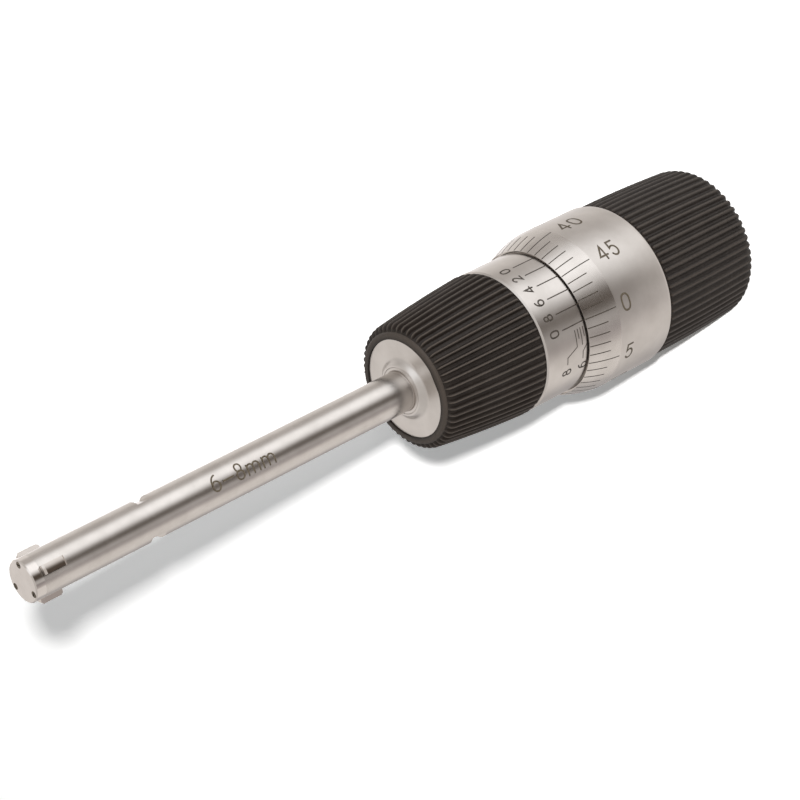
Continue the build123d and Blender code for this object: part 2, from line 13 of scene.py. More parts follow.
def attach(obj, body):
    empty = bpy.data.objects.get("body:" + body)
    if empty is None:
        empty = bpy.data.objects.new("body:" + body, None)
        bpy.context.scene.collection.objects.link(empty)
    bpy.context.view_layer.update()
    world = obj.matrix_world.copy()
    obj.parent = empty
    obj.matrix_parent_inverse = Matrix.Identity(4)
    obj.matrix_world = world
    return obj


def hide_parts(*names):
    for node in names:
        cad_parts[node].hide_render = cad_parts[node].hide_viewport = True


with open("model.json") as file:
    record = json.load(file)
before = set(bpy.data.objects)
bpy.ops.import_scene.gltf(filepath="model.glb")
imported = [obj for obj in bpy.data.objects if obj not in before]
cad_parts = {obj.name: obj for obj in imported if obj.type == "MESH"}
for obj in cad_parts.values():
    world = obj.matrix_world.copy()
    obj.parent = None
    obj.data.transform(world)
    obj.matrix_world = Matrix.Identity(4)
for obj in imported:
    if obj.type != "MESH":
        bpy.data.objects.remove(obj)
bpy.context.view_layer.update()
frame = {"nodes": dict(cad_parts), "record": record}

MM = 0.001

# Camera at the photograph's place, found from the circles and edges of the object
CAMERA_PLACE = (0.063514, -0.245942, 0.235444)
CAMERA_RIGHT = (-0.3092983, -0.6077121, -0.731451)
CAMERA_UP = (0.9278503, -0.0242966, -0.3721605)
CAMERA_BACK = (0.2083947, -0.7937857, 0.5713808)
CAMERA_LENS = 108.0
CAMERA_SENSOR = 36.0
CAMERA_CLIP = (0.01, 20.0)

# Stations along the axis, from the rear
REAR_FRONT = 18.3
THIMBLE_BACK = 18.5
WEB_FRONT = 20.5
BARREL_BACK = 21.7
BEVEL_BACK = 28.5
THIMBLE_FRONT = 33.35
CHAMBER_FRONT = 35.0
SLEEVE_FRONT = 40.95
WELL_FRONT = 48.1
STEM_BACK = 49.1
BUSH_BACK = 51.9
NOSE_FACE = 57.1
GRIP_FRONT = 57.3
BUSH_FACE = 57.9
FLAT_BACK = 98.3
FLAT_FRONT = 100.45
SLOT_BACK = 112.8
HEAD_BORE_BACK = 114.24
STEM_FRONT = 115.9
HEAD_FACE = 117.3

# Turned surfaces: steps round the axis, and the clearance between two that sit in one another
ROUND_STEPS = 256
SEAT = 0.01
SLEEVE_RADIUS = 10.1
SLEEVE_CHAMFER = 0.2
SLEEVE_CHAMFER_LENGTH = 0.24
BARREL_RADIUS = 9.3

# Thimble: its skin lies just inside the solid's, and its bevel bulges a little
THIMBLE_RADIUS = 11.72
THIMBLE_INSET = 0.012
BEVEL_DROP = 1.31
BEVEL_BULGE = 0.184
BEVEL_STEPS = 16
THIMBLE_BORE = 10.16
TAPER_FRONT_RADIUS = 3.41
TAPER_BACK_RADIUS = 3.01
COLLAR_INNER_RADIUS = 8.3
COLLAR_OUTER_RADIUS = 9.8
COLLAR_LENGTH = 1.7
LIP_RADIUS = 10.36
LIP_BACK_RADIUS = 10.34
LIP_LENGTH = 0.5

# Barrel: the nose with its flat side, the boss round the bush, and the bores
NOSE_RADIUS = 6.87
NOSE_CHAMFER = 0.05
NOSE_FLAT = 6.72
NOSE_FLAT_AZIMUTH = -84.3
BOSS_FOOT = 4.55
BOSS_HEIGHT = 0.78
BOSS_STEPS = (
    (0.0, 0.0), (0.12, 0.01), (0.24, 0.04), (0.36, 0.1), (0.48, 0.19), (0.6, 0.31),
    (0.72, 0.45), (0.84, 0.58), (0.94, 0.68), (1.03, 0.75), (1.15, BOSS_HEIGHT),
)
BUSH_RADIUS = 3.26
CHAMBER_RADIUS = 6.0
WELL_RADIUS = 4.2

# Stem: one tube with three slots for the anvils and two flats for a spanner
STEM_RADIUS = 2.75
STEM_BORE = 2.1
HEAD_BORE = 1.7
SLOT_HALF_WIDTH = 0.63
SLOT_INNER = 1.0
ANVIL_AZIMUTH = 46.5
FLAT_AZIMUTH = 9.0
FLAT_DEPTH = 0.55
CUT_REACH = 4.0


# Node helpers

# Places of the colours among the sockets of a mix node, whose names repeat
MIX_COLOURS = (6, 7)
MIX_RESULT = 2
NOISE_ROUGHNESS = 0.55


def node_material(name):
    """A new material, with its node tree and its shader."""
    material = bpy.data.materials.new(name)
    material.use_nodes = True
    tree = material.node_tree
    tree.nodes.clear()
    output = tree.nodes.new("ShaderNodeOutputMaterial")
    shader = tree.nodes.new("ShaderNodeBsdfPrincipled")
    tree.links.new(shader.outputs["BSDF"], output.inputs["Surface"])
    return material, tree, shader


def feed(tree, socket, value):
    """Links a source to a socket, or sets the socket to a number, a vector or a colour."""
    if isinstance(value, bpy.types.NodeSocket):
        tree.links.new(value, socket)
    elif socket.type == "RGBA":
        socket.default_value = (*value, 1)
    else:
        socket.default_value = value


def math_node(tree, operation, first, second):
    """A math node on two inputs, each a socket or a number."""
    node = tree.nodes.new("ShaderNodeMath")
    node.operation = operation
    feed(tree, node.inputs[0], first)
    feed(tree, node.inputs[1], second)
    return node.outputs["Value"]


def vector_node(tree, operation, first, second=(0.0, 0.0, 0.0), output="Vector"):
    """A vector math node on two inputs, each a socket or three numbers."""
    node = tree.nodes.new("ShaderNodeVectorMath")
    node.operation = operation
    feed(tree, node.inputs[0], first)
    feed(tree, node.inputs[1], second)
    return node.outputs[output]


def scaled(tree, value, factor):
    """A vector, as a socket or three numbers, times a number socket."""
    node = tree.nodes.new("ShaderNodeVectorMath")
    node.operation = "SCALE"
    feed(tree, node.inputs[0], value)
    tree.links.new(factor, node.inputs["Scale"])
    return node.outputs["Vector"]


def lobe(tree, value, low, high):
    """Smooth step of a value from 0 at low to 1 at high."""
    node = tree.nodes.new("ShaderNodeMapRange")
    node.interpolation_type = "SMOOTHSTEP"
    node.inputs["From Min"].default_value = low
    node.inputs["From Max"].default_value = high
    tree.links.new(value, node.inputs["Value"])
    return node.outputs["Result"]


def spread(tree, value, low, high, source_low=0.35, source_high=0.65):
    """Maps a value, such as the middle of a noise, to the range low to high."""
    node = tree.nodes.new("ShaderNodeMapRange")
    node.inputs["From Min"].default_value = source_low
    node.inputs["From Max"].default_value = source_high
    node.inputs["To Min"].default_value = low
    node.inputs["To Max"].default_value = high
    tree.links.new(value, node.inputs["Value"])
    return node.outputs["Result"]


def noise(tree, scale, detail=3.0, stretch=(1, 1, 1)):
    """Noise over the object's own coordinates, which may be stretched along an axis."""
    place = tree.nodes.new("ShaderNodeTexCoord")
    mapping = tree.nodes.new("ShaderNodeMapping")
    mapping.inputs["Scale"].default_value = stretch
    texture = tree.nodes.new("ShaderNodeTexNoise")
    texture.inputs["Scale"].default_value = scale
    texture.inputs["Detail"].default_value = detail
    texture.inputs["Roughness"].default_value = NOISE_ROUGHNESS
    tree.links.new(place.outputs["Object"], mapping.inputs["Vector"])
    tree.links.new(mapping.outputs["Vector"], texture.inputs["Vector"])
    return texture.outputs["Fac"]


def mixed(tree, value, first, second):
    """Colour between two colours, each a socket or three numbers, by a value from 0 to 1."""
    node = tree.nodes.new("ShaderNodeMix")
    node.data_type = "RGBA"
    for place, colour in zip(MIX_COLOURS, (first, second)):
        feed(tree, node.inputs[place], colour)
    tree.links.new(value, node.inputs[0])
    return node.outputs[MIX_RESULT]


def bump(tree, shader, height, strength, distance):
    """Bends the shader's normal by a height, at its full distance in metres."""
    node = tree.nodes.new("ShaderNodeBump")
    node.inputs["Strength"].default_value = strength
    node.inputs["Distance"].default_value = distance
    tree.links.new(height, node.inputs["Height"])
    tree.links.new(node.outputs["Normal"], shader.inputs["Normal"])


# Finishes

# Scales of the noises, in waves to the metre
METAL_CLOUD = 260.0
TURNING_LINES = 9000.0
METAL_GRAIN = 5200.0
GRIP_CLOUD = 420.0
GRIP_SPECK = 3600.0
PAINT_CLOUD = 3000.0

# Depths in metres, and half the length in millimetres over which a metal turns duller
TURNING_DEPTH = 0.000004
SPECK_DEPTH = 0.00001
DULLER_BLEND = 0.05

GRIP_DARK = (0.0112, 0.0082, 0.0065)
GRIP_LIGHT = (0.0168, 0.0127, 0.0103)
# Paler tone of the rib crests: partly rubbing, partly a painted highlight along each crest line
GRIP_CREST_WEAR_AND_HIGHLIGHT = (0.070, 0.056, 0.046)


def turned_metal(name, tones, roughness, anisotropy, relief=0.04, swing=0.012, duller=None):
    """Satin metal with fine turning lines round the axis and a cloudy, slightly warm tone.

    relief is how strongly the lines and the grain bend the light, and swing how far the lines change the
    roughness. duller is a height on the axis and the roughness that is added behind it.
    """
    material, tree, shader = node_material(name)
    shader.inputs["Metallic"].default_value = 1.0
    shader.inputs["Anisotropic"].default_value = anisotropy
    tangent = tree.nodes.new("ShaderNodeTangent")
    tangent.direction_type = "RADIAL"
    tangent.axis = "Z"
    tree.links.new(tangent.outputs["Tangent"], shader.inputs["Tangent"])
    cloud = noise(tree, METAL_CLOUD, 4.0)
    lines = noise(tree, TURNING_LINES, 2.0, (0.01, 0.01, 1))
    grain = noise(tree, METAL_GRAIN, 2.0)
    tree.links.new(mixed(tree, spread(tree, cloud, 0, 1), *tones), shader.inputs["Base Color"])
    rough = spread(tree, lines, roughness - swing, roughness + swing)
    if duller:
        height, more = duller
        place = tree.nodes.new("ShaderNodeTexCoord")
        parts = tree.nodes.new("ShaderNodeSeparateXYZ")
        tree.links.new(place.outputs["Object"], parts.inputs["Vector"])
        start, end = MM * (height - DULLER_BLEND), MM * (height + DULLER_BLEND)
        rough = math_node(tree, "ADD", rough, spread(tree, parts.outputs["Z"], more, 0.0, start, end))
    tree.links.new(rough, shader.inputs["Roughness"])
    bump(tree, shader, math_node(tree, "ADD", lines, grain), relief, TURNING_DEPTH)
    return material


def black_grip(name):
    """Matt black moulding, a little brown, with a fine grain and paler crests: partly rubbed, partly a painted
    highlight along each crest.
    """
    material, tree, shader = node_material(name)
    shader.inputs["Specular IOR Level"].default_value = 0.4
    # Mask from the mesh that pales the crests: partly rubbing, partly a painted highlight
    wear_and_highlight = tree.nodes.new("ShaderNodeAttribute")
    wear_and_highlight.attribute_name = "wear_and_highlight"
    cloud = noise(tree, GRIP_CLOUD, 4.0)
    speck = noise(tree, GRIP_SPECK, 2.0)
    base = mixed(tree, spread(tree, cloud, 0, 1), GRIP_DARK, GRIP_LIGHT)
    tree.links.new(mixed(tree, wear_and_highlight.outputs["Fac"], base, GRIP_CREST_WEAR_AND_HIGHLIGHT), shader.inputs["Base Color"])
    tree.links.new(spread(tree, speck, 0.5, 0.62), shader.inputs["Roughness"])
    bump(tree, shader, speck, 0.3, SPECK_DEPTH)
    return material


def mark_paint(name, dark, light):
    """Dark paint at the bottom of an engraved mark."""
    material, tree, shader = node_material(name)
    tone = mixed(tree, spread(tree, noise(tree, PAINT_CLOUD), 0, 1), dark, light)
    tree.links.new(tone, shader.inputs["Base Color"])
    shader.inputs["Roughness"].default_value = 0.6
    return material


CHROME_TONES = ((0.62, 0.585, 0.555), (0.70, 0.664, 0.634))
STEEL_TONES = ((0.63, 0.595, 0.565), (0.71, 0.674, 0.644))
NOSE_TONES = ((0.62, 0.588, 0.56), (0.69, 0.657, 0.63))
CAP_TONES = ((0.68, 0.64, 0.61), (0.76, 0.72, 0.69))
ANVIL_TONES = ((0.62, 0.57, 0.53), (0.70, 0.65, 0.61))
SCREW_TONES = ((0.10, 0.080, 0.055), (0.20, 0.165, 0.125))
INNER_TONES = ((0.40, 0.40, 0.40), (0.52, 0.52, 0.53))
BRONZE_TONES = ((0.50, 0.36, 0.19), (0.62, 0.46, 0.26))

SATIN = turned_metal("satin_chrome", CHROME_TONES, 0.29, 0.4, relief=0.02)
THIMBLE_SATIN = turned_metal("satin_thimble", CHROME_TONES, 0.25, 0.4, relief=0.02, duller=(BEVEL_BACK, 0.11))
STEEL = turned_metal("satin_steel", STEEL_TONES, 0.27, 0.4, relief=0.003, swing=0.003)
NOSE = turned_metal("nose_steel", NOSE_TONES, 0.30, 0.1, relief=0.02)
HARD = turned_metal("hard_metal", CAP_TONES, 0.10, 0.0, relief=0.01)
ANVILS = turned_metal("anvil_metal", ANVIL_TONES, 0.10, 0.0, relief=0.01)
SCREWS = turned_metal("dark_screws", SCREW_TONES, 0.35, 0.0)
INNER = turned_metal("inner_steel", INNER_TONES, 0.32, 0.3)
BRONZE = turned_metal("bronze", BRONZE_TONES, 0.32, 0.3)
BLACK = black_grip("black_grip")
PAINT = mark_paint("mark_paint", (0.030, 0.024, 0.019), (0.060, 0.048, 0.038))
BROWN_PAINT = mark_paint("brown_paint", (0.062, 0.048, 0.031), (0.10, 0.08, 0.054))

# Finish of each slot, and of the nodes that differ from it
SLOT_FINISHES = {
    "satin_chrome": SATIN,
    "satin_steel": STEEL,
    "hard_metal": ANVILS,
    "inner_steel": INNER,
    "bronze": BRONZE,
    "black_plastic": BLACK,
}
NODE_FINISHES = {"head_cap": HARD, "head_cap_screws": SCREWS}
node_slots = {part["node"]: part["material_slot"] for part in frame["record"]["subparts"]}
for name, node in frame["nodes"].items():
    node.data.materials.clear()
    node.data.materials.append(NODE_FINISHES.get(name, SLOT_FINISHES[node_slots[name]]))


# Meshes

def piece(name, points, faces, body, material, sharp=30.0):
    """A mesh in millimetres that rides on a body, smooth apart from edges over the sharp angle."""
    mesh = bpy.data.meshes.new(name)
    mesh.from_pydata([tuple(MM * c for c in p) for p in points], [], faces)
    mesh.validate()
    mesh.polygons.foreach_set("use_smooth", [True] * len(mesh.polygons))
    if sharp:
        mesh.set_sharp_from_angle(angle=radians(sharp))
    obj = bpy.data.objects.new(name, mesh)
    bpy.context.scene.collection.objects.link(obj)
    obj.data.materials.append(material)
    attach(obj, body)
    return obj


def polar(radius, azimuth, height):
    """A point at a radius, an azimuth in degrees and a height."""
    return (radius * cos(radians(azimuth)), radius * sin(radians(azimuth)), height)


def grid_faces(rows, columns):
    """Quads of a grid whose rows and columns both go all the way round."""
    faces = []
    for i in range(rows):
        j = (i + 1) % rows
        for k in range(columns):
            m = (k + 1) % columns
            faces.append((i * columns + k, i * columns + m, j * columns + m, j * columns + k))
    return faces


def turned(name, profile, body, material, shape=None):
    """A closed profile of (radius, height) points turned round the axis.

    shape may give a point another radius, from its radius, its height and its azimuth.
    """
    points = []
    for radius, height in profile:
        for k in range(ROUND_STEPS):
            azimuth = 360 * k / ROUND_STEPS
            points.append(polar(shape(radius, height, azimuth) if shape else radius, azimuth, height))
    return piece(name, points, grid_faces(len(profile), ROUND_STEPS), body, material)


def cutter(azimuth, near, far, half_width, low, high):
    """A box to cut with, from its azimuth, two distances off the axis, half its width and two heights."""
    middle = Vector((near + far, 0, low + high)) * MM / 2
    size = Vector((far - near, 2 * half_width, high - low)) * MM
    turn = Matrix.Rotation(radians(azimuth), 4, "Z")
    place = turn @ Matrix.Translation(middle) @ Matrix.Diagonal((*size, 1))
    form = bmesh.new()
    bmesh.ops.create_cube(form, size=1, matrix=place)
    mesh = bpy.data.meshes.new("cutter")
    form.to_mesh(mesh)
    form.free()
    obj = bpy.data.objects.new("cutter", mesh)
    bpy.context.scene.collection.objects.link(obj)
    return obj


def cut_away(obj, tools):
    """Cuts the tools out of a piece and removes them."""
    for tool in tools:
        cut = obj.modifiers.new("cut", "BOOLEAN")
        cut.operation = "DIFFERENCE"
        cut.solver = "EXACT"
        cut.object = tool
    graph = bpy.context.evaluated_depsgraph_get()
    result = bpy.data.meshes.new_from_object(obj.evaluated_get(graph))
    obj.modifiers.clear()
    obj.data = result
    for tool in tools:
        bpy.data.objects.remove(tool)
    result.polygons.foreach_set("use_smooth", [True] * len(result.polygons))
    result.set_sharp_from_angle(angle=radians(30))


# Thimble, sleeve, nose and stem

def bevel_radius(height):
    """Radius of the thimble's outside at a height, with the slight bulge of its bevel."""
    if height <= BEVEL_BACK:
        return THIMBLE_RADIUS - THIMBLE_INSET
    t = (height - BEVEL_BACK) / (THIMBLE_FRONT - BEVEL_BACK)
    return THIMBLE_RADIUS - BEVEL_DROP * t - THIMBLE_INSET + BEVEL_BULGE * 4 * t * (1 - t)


bevel_heights = [BEVEL_BACK + (THIMBLE_FRONT - BEVEL_BACK) * i / BEVEL_STEPS for i in range(BEVEL_STEPS + 1)]
skin_radius = THIMBLE_RADIUS - THIMBLE_INSET
thimble_profile = [
    (THIMBLE_BORE, WEB_FRONT),
    (TAPER_FRONT_RADIUS, WEB_FRONT),
    (TAPER_BACK_RADIUS, THIMBLE_BACK),
    (COLLAR_INNER_RADIUS, THIMBLE_BACK),
    (COLLAR_INNER_RADIUS, THIMBLE_BACK - COLLAR_LENGTH),
    (COLLAR_OUTER_RADIUS, THIMBLE_BACK - COLLAR_LENGTH),
    (COLLAR_OUTER_RADIUS, THIMBLE_BACK),
    (skin_radius - 0.22, THIMBLE_BACK),
    (skin_radius - 0.11, THIMBLE_BACK + 0.08),
    (skin_radius, THIMBLE_BACK + 0.48),
    (skin_radius, BEVEL_BACK - 0.02),
    *((bevel_radius(height), height) for height in bevel_heights),
    (LIP_RADIUS, THIMBLE_FRONT),
    (LIP_BACK_RADIUS, THIMBLE_FRONT - LIP_LENGTH),
    (THIMBLE_BORE, THIMBLE_FRONT - LIP_LENGTH - 0.02),
]
thimble = turned("thimble_shell", thimble_profile, "screw", THIMBLE_SATIN)
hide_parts("thimble")

sleeve_profile = [
    (BARREL_RADIUS + SEAT, BARREL_BACK),
    (SLEEVE_RADIUS, BARREL_BACK),
    (SLEEVE_RADIUS, SLEEVE_FRONT - SLEEVE_CHAMFER_LENGTH),
    (SLEEVE_RADIUS - SLEEVE_CHAMFER, SLEEVE_FRONT),
    (BARREL_RADIUS + SEAT, SLEEVE_FRONT),
]
sleeve = turned("scale_sleeve_shell", sleeve_profile, "frame", SATIN)
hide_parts("scale_sleeve")


def flat_nose(radius, height, azimuth):
    """Radius of the barrel, cut flat on one side of the nose."""
    turn = cos(radians(azimuth - NOSE_FLAT_AZIMUTH))
    return min(radius, NOSE_FLAT / turn) if height > SLEEVE_FRONT + 0.01 and turn > 0.5 else radius


barrel_profile = [
    *((BOSS_FOOT - run, NOSE_FACE + rise) for run, rise in reversed(BOSS_STEPS)),
    (NOSE_RADIUS - NOSE_CHAMFER, NOSE_FACE),
    (NOSE_RADIUS, NOSE_FACE - NOSE_CHAMFER),
    (NOSE_RADIUS, SLEEVE_FRONT + 0.02),
    (NOSE_RADIUS, SLEEVE_FRONT),
    (BARREL_RADIUS, SLEEVE_FRONT),
    (BARREL_RADIUS, BARREL_BACK),
    (CHAMBER_RADIUS, BARREL_BACK),
    (CHAMBER_RADIUS, CHAMBER_FRONT),
    (WELL_RADIUS, CHAMBER_FRONT),
    (WELL_RADIUS, WELL_FRONT),
    (STEM_BORE, WELL_FRONT),
    (STEM_BORE, STEM_BACK),
    (STEM_RADIUS + SEAT, STEM_BACK),
    (STEM_RADIUS + SEAT, BUSH_BACK),
    (BUSH_RADIUS, BUSH_BACK),
    (BUSH_RADIUS, NOSE_FACE + BOSS_HEIGHT),
]
barrel = turned("barrel_shell", barrel_profile, "frame", NOSE, shape=flat_nose)
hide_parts("barrel")

bush_profile = [
    (STEM_RADIUS + SEAT, BUSH_BACK),
    (STEM_RADIUS + SEAT, BUSH_FACE - 0.08),
    (STEM_RADIUS + 0.11, BUSH_FACE),
    (BUSH_RADIUS - 0.14, BUSH_FACE),
    (BUSH_RADIUS - 0.06, BUSH_FACE - 0.03),
    (BUSH_RADIUS - SEAT, BUSH_FACE - 0.1),
    (BUSH_RADIUS - SEAT, BUSH_BACK),
]
bush = turned("nose_bush_shell", bush_profile, "frame", NOSE)
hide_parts("nose_bush")

stem_profile = [
    (STEM_BORE, STEM_BACK),
    (STEM_RADIUS, STEM_BACK),
    (STEM_RADIUS, STEM_FRONT),
    (HEAD_BORE, STEM_FRONT),
    (HEAD_BORE, HEAD_BORE_BACK),
    (STEM_BORE, HEAD_BORE_BACK),
]
stem = turned("head_tube_shell", stem_profile, "frame", STEEL)
slots = [
    cutter(ANVIL_AZIMUTH + 120 * k, SLOT_INNER, CUT_REACH, SLOT_HALF_WIDTH, SLOT_BACK, STEM_FRONT + 1)
    for k in range(3)
]
flats = [
    cutter(FLAT_AZIMUTH + 180 * k, STEM_RADIUS - FLAT_DEPTH, CUT_REACH, CUT_REACH, FLAT_BACK, FLAT_FRONT)
    for k in range(2)
]
cut_away(stem, slots + flats)
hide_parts("head_tube")


# Grips

# Places across one rib and its groove, from 0 at the middle of the rib; 1 is its nominal flank
RIB_PLACES = (0, 0.22, 0.42, 0.6, 0.76, 0.9, 1.02, 1.14, 1.3, 1.6)
PLACE_GAP = 0.1
CREST_END = 0.6
CREST_DROP = 0.16
FLANK_LENGTH = 0.42
FLANK_END = 1.02
FOOT_LENGTH = 0.4
FOOT_RISE = 0.38
# Below this share of its width, or this height in millimetres, a rib has run out
LEAST_SHARE = 0.02
LEAST_RISE = 0.1
# Width of the pale crown, as a place, and the narrowest share that it is reckoned with; the pale crown is
# partly rubbing and partly a painted highlight
CROWN_WIDTH = 0.45
CROWN_SHARE = 0.05
GRIP_SHARP = 50.0
EVEN_STATIONS = 16

# Front grip, from the sleeve to its smooth rim; its lines are (height, radius) points
FRONT_RIBS = 54
FRONT_HALF_WIDTH = 1.45
FRONT_BACK = 40.96
FRONT_MIDDLE = 49.13
FRONT_TIP = 56.9
FRONT_EVEN = 14.2
RIM_RADIUS = 7.8
RIM_LENGTH = 0.4
NOSE_SEAT = 6.88
BACK_DROP = 0.5
BACK_RUN = 0.9
TIP_DROP = 0.72
TIP_RUN = 0.8
TIP_WIDTH_RUN = 0.3
FRONT_CREST = ((FRONT_BACK, 10.2), (FRONT_MIDDLE, 9.55), (FRONT_TIP, 8.62))
FRONT_GROOVE = ((FRONT_BACK, 9.69), (FRONT_MIDDLE, 9.1), (FRONT_TIP - 0.75, 8.2), (FRONT_TIP, RIM_RADIUS))

# Rear grip, from the floor to the thimble
REAR_RIBS = 60
REAR_HALF_WIDTH = 1.75
REAR_RIB_FRONT = 18.0
REAR_ROUND = 1.6
REAR_FOOT_RADIUS = 9.35
REAR_EVEN = 16.1
REAR_SIDE = ((0, 10.95), (9.15, 11.36), (REAR_FRONT, 11.42))
GROOVE_DEPTH = 0.36
GROOVE_START = 0.25
RIB_DROP = 0.3
RIB_RUN = 0.25
RIB_WIDTH_RUN = 0.22
REAR_EDGE = 0.12
# Inside of the rear grip: seat of the thimble's collar, ratchet, screw, and the recess with the end cap
REAR_INNER = (
    (9.86, REAR_FRONT), (9.86, 16.5), (8.3, 16.5), (8.3, 7.6), (2.26, 7.6),
    (2.26, 4.0), (6.4, 4.0), (6.4, 1.15), (7.01, 1.15), (7.01, 0.0),
)


def smooth(t):
    """Smooth step from 0 to 1."""
    t = min(1.0, max(0.0, t))
    return t * t * (3 - 2 * t)


def quarter_round(distance, run):
    """Quarter circle from 0 at an end to 1 at a run from it."""
    t = min(1.0, max(0.0, distance / run))
    return sqrt(1 - (1 - t) ** 2)


def line_between(points, height):
    """Radius at a height on a line through (height, radius) points."""
    for (h0, r0), (h1, r1) in zip(points, points[1:]):
        if height <= h1:
            return r0 + (r1 - r0) * max(0.0, (height - h0) / (h1 - h0))
    return points[-1][1]


def curve_through(points, height):
    """Radius at a height on the parabola through three (height, radius) points."""
    (a, ra), (b, rb), (c, rc) = points
    return (
        ra * (height - b) * (height - c) / ((a - b) * (a - c))
        + rb * (height - a) * (height - c) / ((b - a) * (b - c))
        + rc * (height - a) * (height - b) / ((c - a) * (c - b))
    )


def rib_rise(place):
    """Height of the rib's side: 1 on the rounded crest and 0 in the groove."""
    if place <= CREST_END:
        return 1 - CREST_DROP * (place / CREST_END) ** 2
    if place <= FLANK_END:
        t = (place - CREST_END) / FLANK_LENGTH
        return 1 - CREST_DROP - 0.22 * t - 0.24 * t * t
    t = min(1, (place - FLANK_END) / FOOT_LENGTH)
    return FOOT_RISE * (1 - t) ** 2


def rib_azimuths(count, half_width):
    """Azimuths and places across the ribs, all the way round."""
    pitch = 360 / count
    reach = pitch / 2 / half_width
    places = [p for p in RIB_PLACES if p < reach - PLACE_GAP]
    across = [-reach, *(-p for p in reversed(places[1:])), *places]
    return [(k * pitch + p * half_width, abs(p)) for k in range(count) for p in across]


def ribbed(name, node, body, around, stations, groove, crest, width_at, inner, crest_wear_and_highlight, rim_paleness=0.0):
    """A grip whose ribs stand between a groove line and a crest line, closed by its inner profile.

    around has the azimuths and places of rib_azimuths. At a height, groove and crest give a radius, and
    width_at gives a share of the rib's width. The last two give how pale the crests are, partly from rubbing
    and partly a painted highlight along them, and how pale the side is where it has no ribs.
    """
    points, wear_and_highlight = [], []
    for height in stations:
        low, high, share = groove(height), crest(height), width_at(height)
        for azimuth, place in around:
            rise = rib_rise(place / share) if share > LEAST_SHARE else 0.0
            points.append(polar(low + (high - low) * rise, azimuth, height))
            # Pale crown along each crest: partly rubbing, partly a painted highlight
            crown = exp(-(place / max(share, CROWN_SHARE) / CROWN_WIDTH) ** 2)
            wear_and_highlight.append(crest_wear_and_highlight * crown if high - low > LEAST_RISE and share > LEAST_SHARE else rim_paleness)
    for radius, height in inner:
        for azimuth, _ in around:
            points.append(polar(radius(azimuth) if callable(radius) else radius, azimuth, height))
            wear_and_highlight.append(0.0)
    faces = grid_faces(len(stations) + len(inner), len(around))
    obj = piece(name, points, faces, body, BLACK, GRIP_SHARP)
    attribute = obj.data.attributes.new("wear_and_highlight", "FLOAT", "POINT")
    attribute.data.foreach_set("value", wear_and_highlight)
    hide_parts(node)


def front_crest(height):
    """Radius on the front grip's crests, which round off at both ends."""
    back = BACK_DROP * (1 - quarter_round(height - FRONT_BACK, BACK_RUN))
    front = TIP_DROP * (1 - quarter_round(FRONT_TIP - height, TIP_RUN))
    return curve_through(FRONT_CREST, height) - back - front


def front_groove(height):
    """Radius in the front grip's grooves, and on its smooth rim."""
    if height > FRONT_TIP:
        t = min(1, (height - FRONT_TIP) / RIM_LENGTH)
        return RIM_RADIUS - RIM_LENGTH * (1 - sqrt(max(0, 1 - t * t)))
    return line_between(FRONT_GROOVE, height)


def front_width(height):
    """Share of the front ribs' width, which runs out at the rim."""
    return quarter_round(FRONT_TIP - height, TIP_WIDTH_RUN)


def nose_hole(azimuth):
    """Radius of the hole in the front grip, flat where the nose is."""
    turn = cos(radians(azimuth - NOSE_FLAT_AZIMUTH))
    return min(NOSE_SEAT, (NOSE_FLAT + SEAT) / turn) if turn > 0 else NOSE_SEAT


def rear_side(height, drop):
    """Radius on the rear grip's side, rounded off at the floor, at a drop that starts just above it."""
    base = curve_through(REAR_SIDE, height)
    if height < REAR_ROUND:
        base = REAR_FOOT_RADIUS + (base - REAR_FOOT_RADIUS) * quarter_round(height, REAR_ROUND)
    return base - drop * smooth(height / GROOVE_START)


def rear_crest(height):
    """Radius on the rear grip's crests, which round off at the front."""
    return rear_side(height, 0) - RIB_DROP * (1 - quarter_round(REAR_RIB_FRONT - height, RIB_RUN))


def rear_groove(height):
    """Radius in the rear grip's grooves, with the front edge eased."""
    return rear_side(height, GROOVE_DEPTH) - REAR_EDGE * (1 - quarter_round(REAR_FRONT - height, REAR_EDGE))


def rear_width(height):
    """Share of the rear ribs' width, which runs out before the thimble."""
    return quarter_round(REAR_RIB_FRONT - height, RIB_WIDTH_RUN)


front_stations = [
    *(FRONT_BACK + d for d in (0, 0.03, 0.09, 0.18, 0.32, 0.5, 0.7, BACK_RUN)),
    *(FRONT_BACK + BACK_RUN + FRONT_EVEN * i / EVEN_STATIONS for i in range(1, EVEN_STATIONS + 1)),
    *(FRONT_TIP - d for d in (0.75, 0.65, 0.55, 0.45, 0.37, 0.3, 0.24, 0.18, 0.13, 0.09, 0.05, 0.02, 0.0)),
    *(FRONT_TIP + RIM_LENGTH * sin(radians(a)) for a in (8, 18, 30, 42, 54, 66, 78, 90)),
]
# Pale crests: partly rubbing, partly a painted highlight; the smooth rim is paler too
ribbed(
    "front_grip_cover", "front_grip", "frame", rib_azimuths(FRONT_RIBS, FRONT_HALF_WIDTH), front_stations,
    front_groove, front_crest, front_width, ((nose_hole, GRIP_FRONT), (nose_hole, FRONT_BACK)),
    crest_wear_and_highlight=1.0, rim_paleness=0.6,
)

rear_stations = [
    *(REAR_ROUND * (1 - cos(radians(a))) for a in (0, 8, 16, 25, 34, 44, 54, 65, 77, 90)),
    *(REAR_ROUND + REAR_EVEN * i / EVEN_STATIONS for i in range(1, EVEN_STATIONS + 1)),
    *(REAR_RIB_FRONT - d for d in (0.22, 0.17, 0.12, 0.08, 0.04, 0.015, 0.0)),
    *(REAR_FRONT - d for d in (0.2, 0.12, 0.07, 0.03, 0.0)),
]
